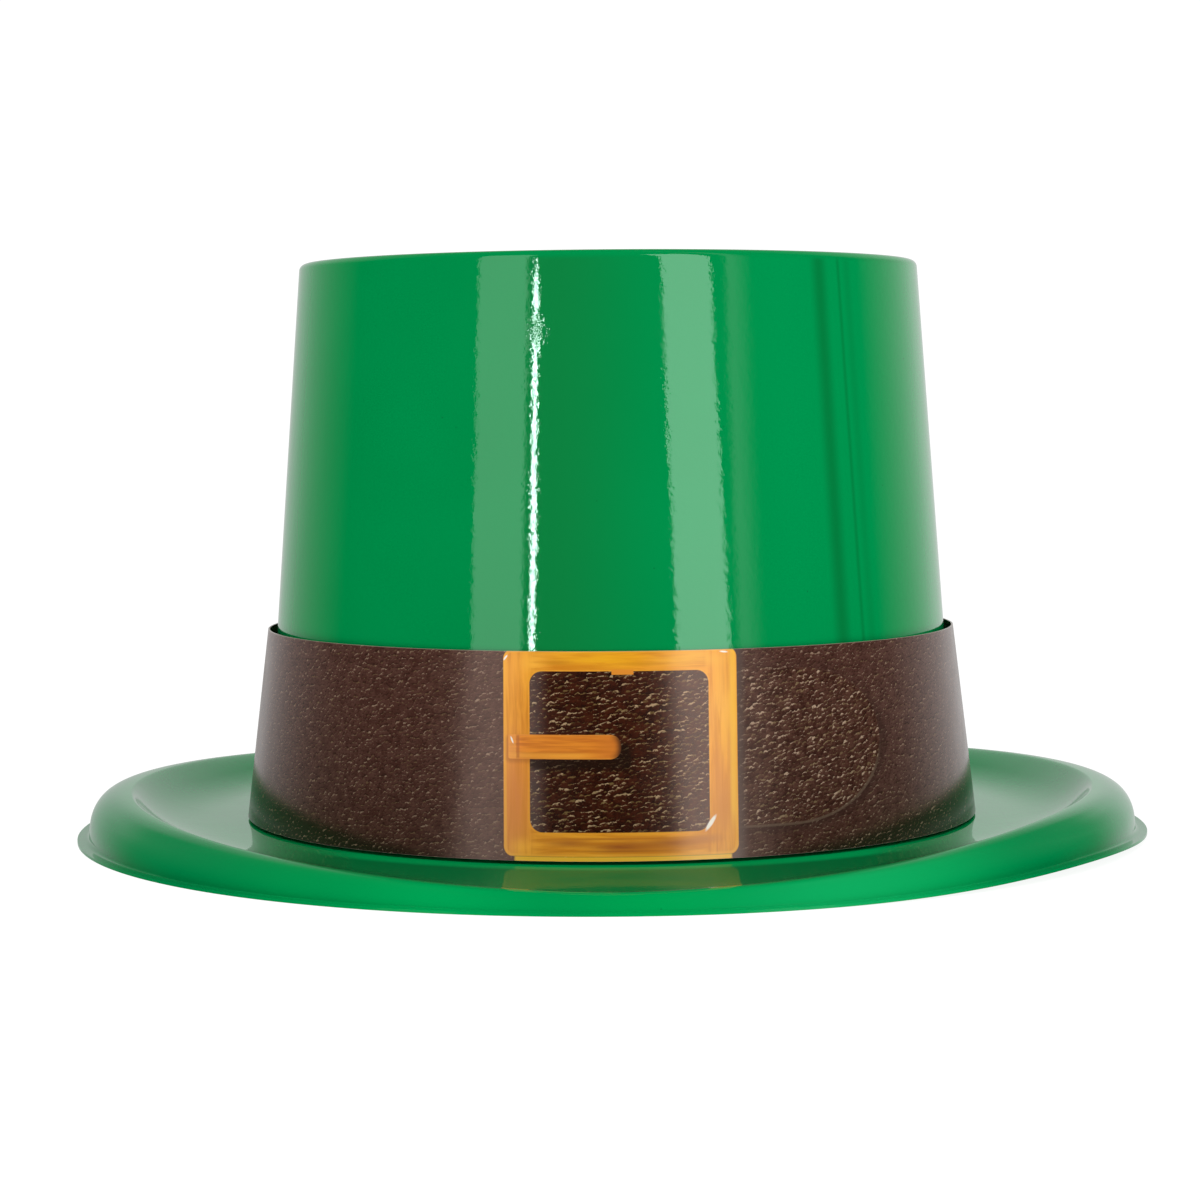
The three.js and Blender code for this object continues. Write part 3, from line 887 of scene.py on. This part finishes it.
# The studio: a pale floor, a white room for the camera, soft light from all round, and two tall
# soft boxes and a thin tube in front, whose reflections stand on the crown as upright strips.
floor_half = 6.0
floor_grey = (0.15, 0.15, 0.15, 1)
floor_glow = 0.91
floor_corners = [(-floor_half, -floor_half, 0), (floor_half, -floor_half, 0),
                 (floor_half, floor_half, 0), (-floor_half, floor_half, 0)]
floor_mesh = bpy.data.meshes.new("floor")
floor_mesh.from_pydata(floor_corners, [], [(0, 1, 2, 3)])
floor = bpy.data.objects.new("floor", floor_mesh)
bpy.context.scene.collection.objects.link(floor)
floor_paint, _, floor_shader = principled("floor_paint", roughness=0.9, ior=1.3)
floor_shader.inputs["Base Color"].default_value = floor_grey
floor_shader.inputs["Emission Color"].default_value = (1, 1, 1, 1)
floor_shader.inputs["Emission Strength"].default_value = floor_glow
floor_shader.inputs["Specular IOR Level"].default_value = 0.0
floor.visible_glossy = False
floor_mesh.materials.append(floor_paint)

# The room is one even white to the camera, and an even soft light to the pieces. Their gloss sees
# a backdrop that brightens towards the back and the right, and a bright edge at the right.
room_white = 1.06
room_fill = 0.88
backdrop_from = 0.34
backdrop_glow = 1.25
backdrop_most = 0.68
backdrop_to_right = 0.32
overhead_from = 0.22
overhead_glow = 0.8
backdrop_heights = (0.3, 1.0)
edge_starts = np.radians([46.0, 50.0])
edge_ends = np.radians([49.0, 60.0])
room = bpy.data.worlds.new("room")
room.use_nodes = True
bpy.context.scene.world = room
room_tree = room.node_tree
room_tree.nodes.clear()
look = put(room_tree, "ShaderNodeTexCoord", out="Generated")
to_right, to_back, to_top = parts_of(room_tree, look)
level_part = math(room_tree, "SQRT", math(room_tree, "SUBTRACT", 1.0, product(room_tree, to_top, to_top)))
behind = math(room_tree, "SUBTRACT", math(room_tree, "DIVIDE", to_back, level_part), backdrop_from)
overhead = math(room_tree, "MAXIMUM", math(room_tree, "SUBTRACT", to_top, overhead_from), 0.0)
behind = math(room_tree, "ADD", behind, product(room_tree, overhead, overhead_glow))
behind = product(room_tree, math(room_tree, "MAXIMUM", behind, 0.0), backdrop_glow)
behind = math(room_tree, "MINIMUM", behind, backdrop_most)
brighter_right = math(room_tree, "ADD", product(room_tree, to_right, backdrop_to_right), 1.0)
low_down = fade(room_tree, math(room_tree, "ABSOLUTE", to_top), *backdrop_heights)
backdrop = product(room_tree, behind, low_down, brighter_right)
bearing_seen = math(room_tree, "ARCTAN2", to_right, product(room_tree, to_back, -1.0))
side_light = product(room_tree, ramp(room_tree, bearing_seen, *edge_starts),
                     fade(room_tree, bearing_seen, *edge_ends))
glow = math(room_tree, "ADD", backdrop, side_light)
path = room_tree.nodes.new("ShaderNodeLightPath").outputs
seen_in_gloss = put(room_tree, "ShaderNodeMix", path["Is Glossy Ray"], None, room_fill, glow)
strength = put(room_tree, "ShaderNodeMix", path["Is Camera Ray"], None, seen_in_gloss, room_white)
sky = put(room_tree, "ShaderNodeBackground", (1, 1, 1, 1), strength)
room_tree.links.new(sky, room_tree.nodes.new("ShaderNodeOutputWorld").inputs["Surface"])


def soft_box(name, bearing, rise, distance, size, radiance, lean=0.0, in_gloss=True, in_diffuse=True):
    """An upright light panel that faces the crown's middle.

    bearing and rise are in degrees, seen from the crown: 0 is the camera's side and rising
    bearings go to its right. radiance is how bright the panel looks, and lean turns it in its own
    plane. The lamp's power is pi times its area times its radiance."""
    lamp = bpy.data.lights.new(name, "AREA")
    lamp.shape = "RECTANGLE"
    lamp.size, lamp.size_y = size
    lamp.energy = np.pi * size[0] * size[1] * radiance
    bearing, rise = np.radians(bearing), np.radians(rise)
    away_to = Vector((np.sin(bearing) * np.cos(rise), -np.cos(bearing) * np.cos(rise), np.sin(rise)))
    holder = bpy.data.objects.new(name, lamp)
    bpy.context.scene.collection.objects.link(holder)
    holder.location = away_to * distance + Vector((0.0, 0.0, hat_height / 2))
    holder.rotation_euler = away_to.to_track_quat("Z", "Y").to_euler()
    holder.rotation_euler.rotate_axis("Z", np.radians(lean))
    holder.visible_camera = False
    holder.visible_glossy = in_gloss
    holder.visible_diffuse = in_diffuse
    return holder


# The boxes and the tube are seen in the gloss, and the tube is flagged off the band. The key and
# the top light only light the pieces.
soft_box("left_box", bearing=-41.8, rise=12.0, distance=1.6, size=(0.54, 1.5), radiance=2.15,
         in_diffuse=False)
tube = soft_box("tube", bearing=-28.6, rise=3.6, distance=1.6, size=(0.035, 0.535), radiance=54.0,
                in_diffuse=False)
lit_by_tube = bpy.data.collections.new("lit_by_tube")
lit_by_tube.objects.link(shell)
tube.light_linking.receiver_collection = lit_by_tube
soft_box("right_box", bearing=31.5, rise=10.0, distance=1.6, size=(0.51, 1.5), radiance=4.6, lean=19.0,
         in_diffuse=False)
soft_box("key", bearing=55.0, rise=35.0, distance=1.8, size=(1.2, 1.2), radiance=0.9, in_gloss=False)
soft_box("top_front", bearing=0.0, rise=62.0, distance=2.0, size=(1.6, 1.6), radiance=0.9, in_gloss=False)

# The camera stands level with the crown's upper part and looks slightly down, as for the
# photograph. Its lens follows from how many of the picture's dots a millimetre takes at the axis.
picture_width = 1200
dots_per_mm = 4.2007
camera_distance = 833.75 * MM
camera_height = 102.2 * MM
camera_side = -2.45 * MM
look_down = 3.312
roll = 0.426
camera_data = bpy.data.cameras.new("camera")
camera_data.sensor_width = 36.0
camera_data.lens = dots_per_mm * camera_distance / MM / picture_width * camera_data.sensor_width
camera_data.clip_start = 0.05
camera_data.clip_end = 50.0
camera = bpy.data.objects.new("camera", camera_data)
bpy.context.scene.collection.objects.link(camera)
camera.location = (camera_side, -camera_distance, camera_height)
camera.rotation_euler = Euler((np.radians(90.0 - look_down), 0.0, 0.0))
camera.rotation_euler.rotate_axis("Z", np.radians(-roll))
bpy.context.scene.camera = camera
bpy.context.scene.view_settings.view_transform = "Standard"
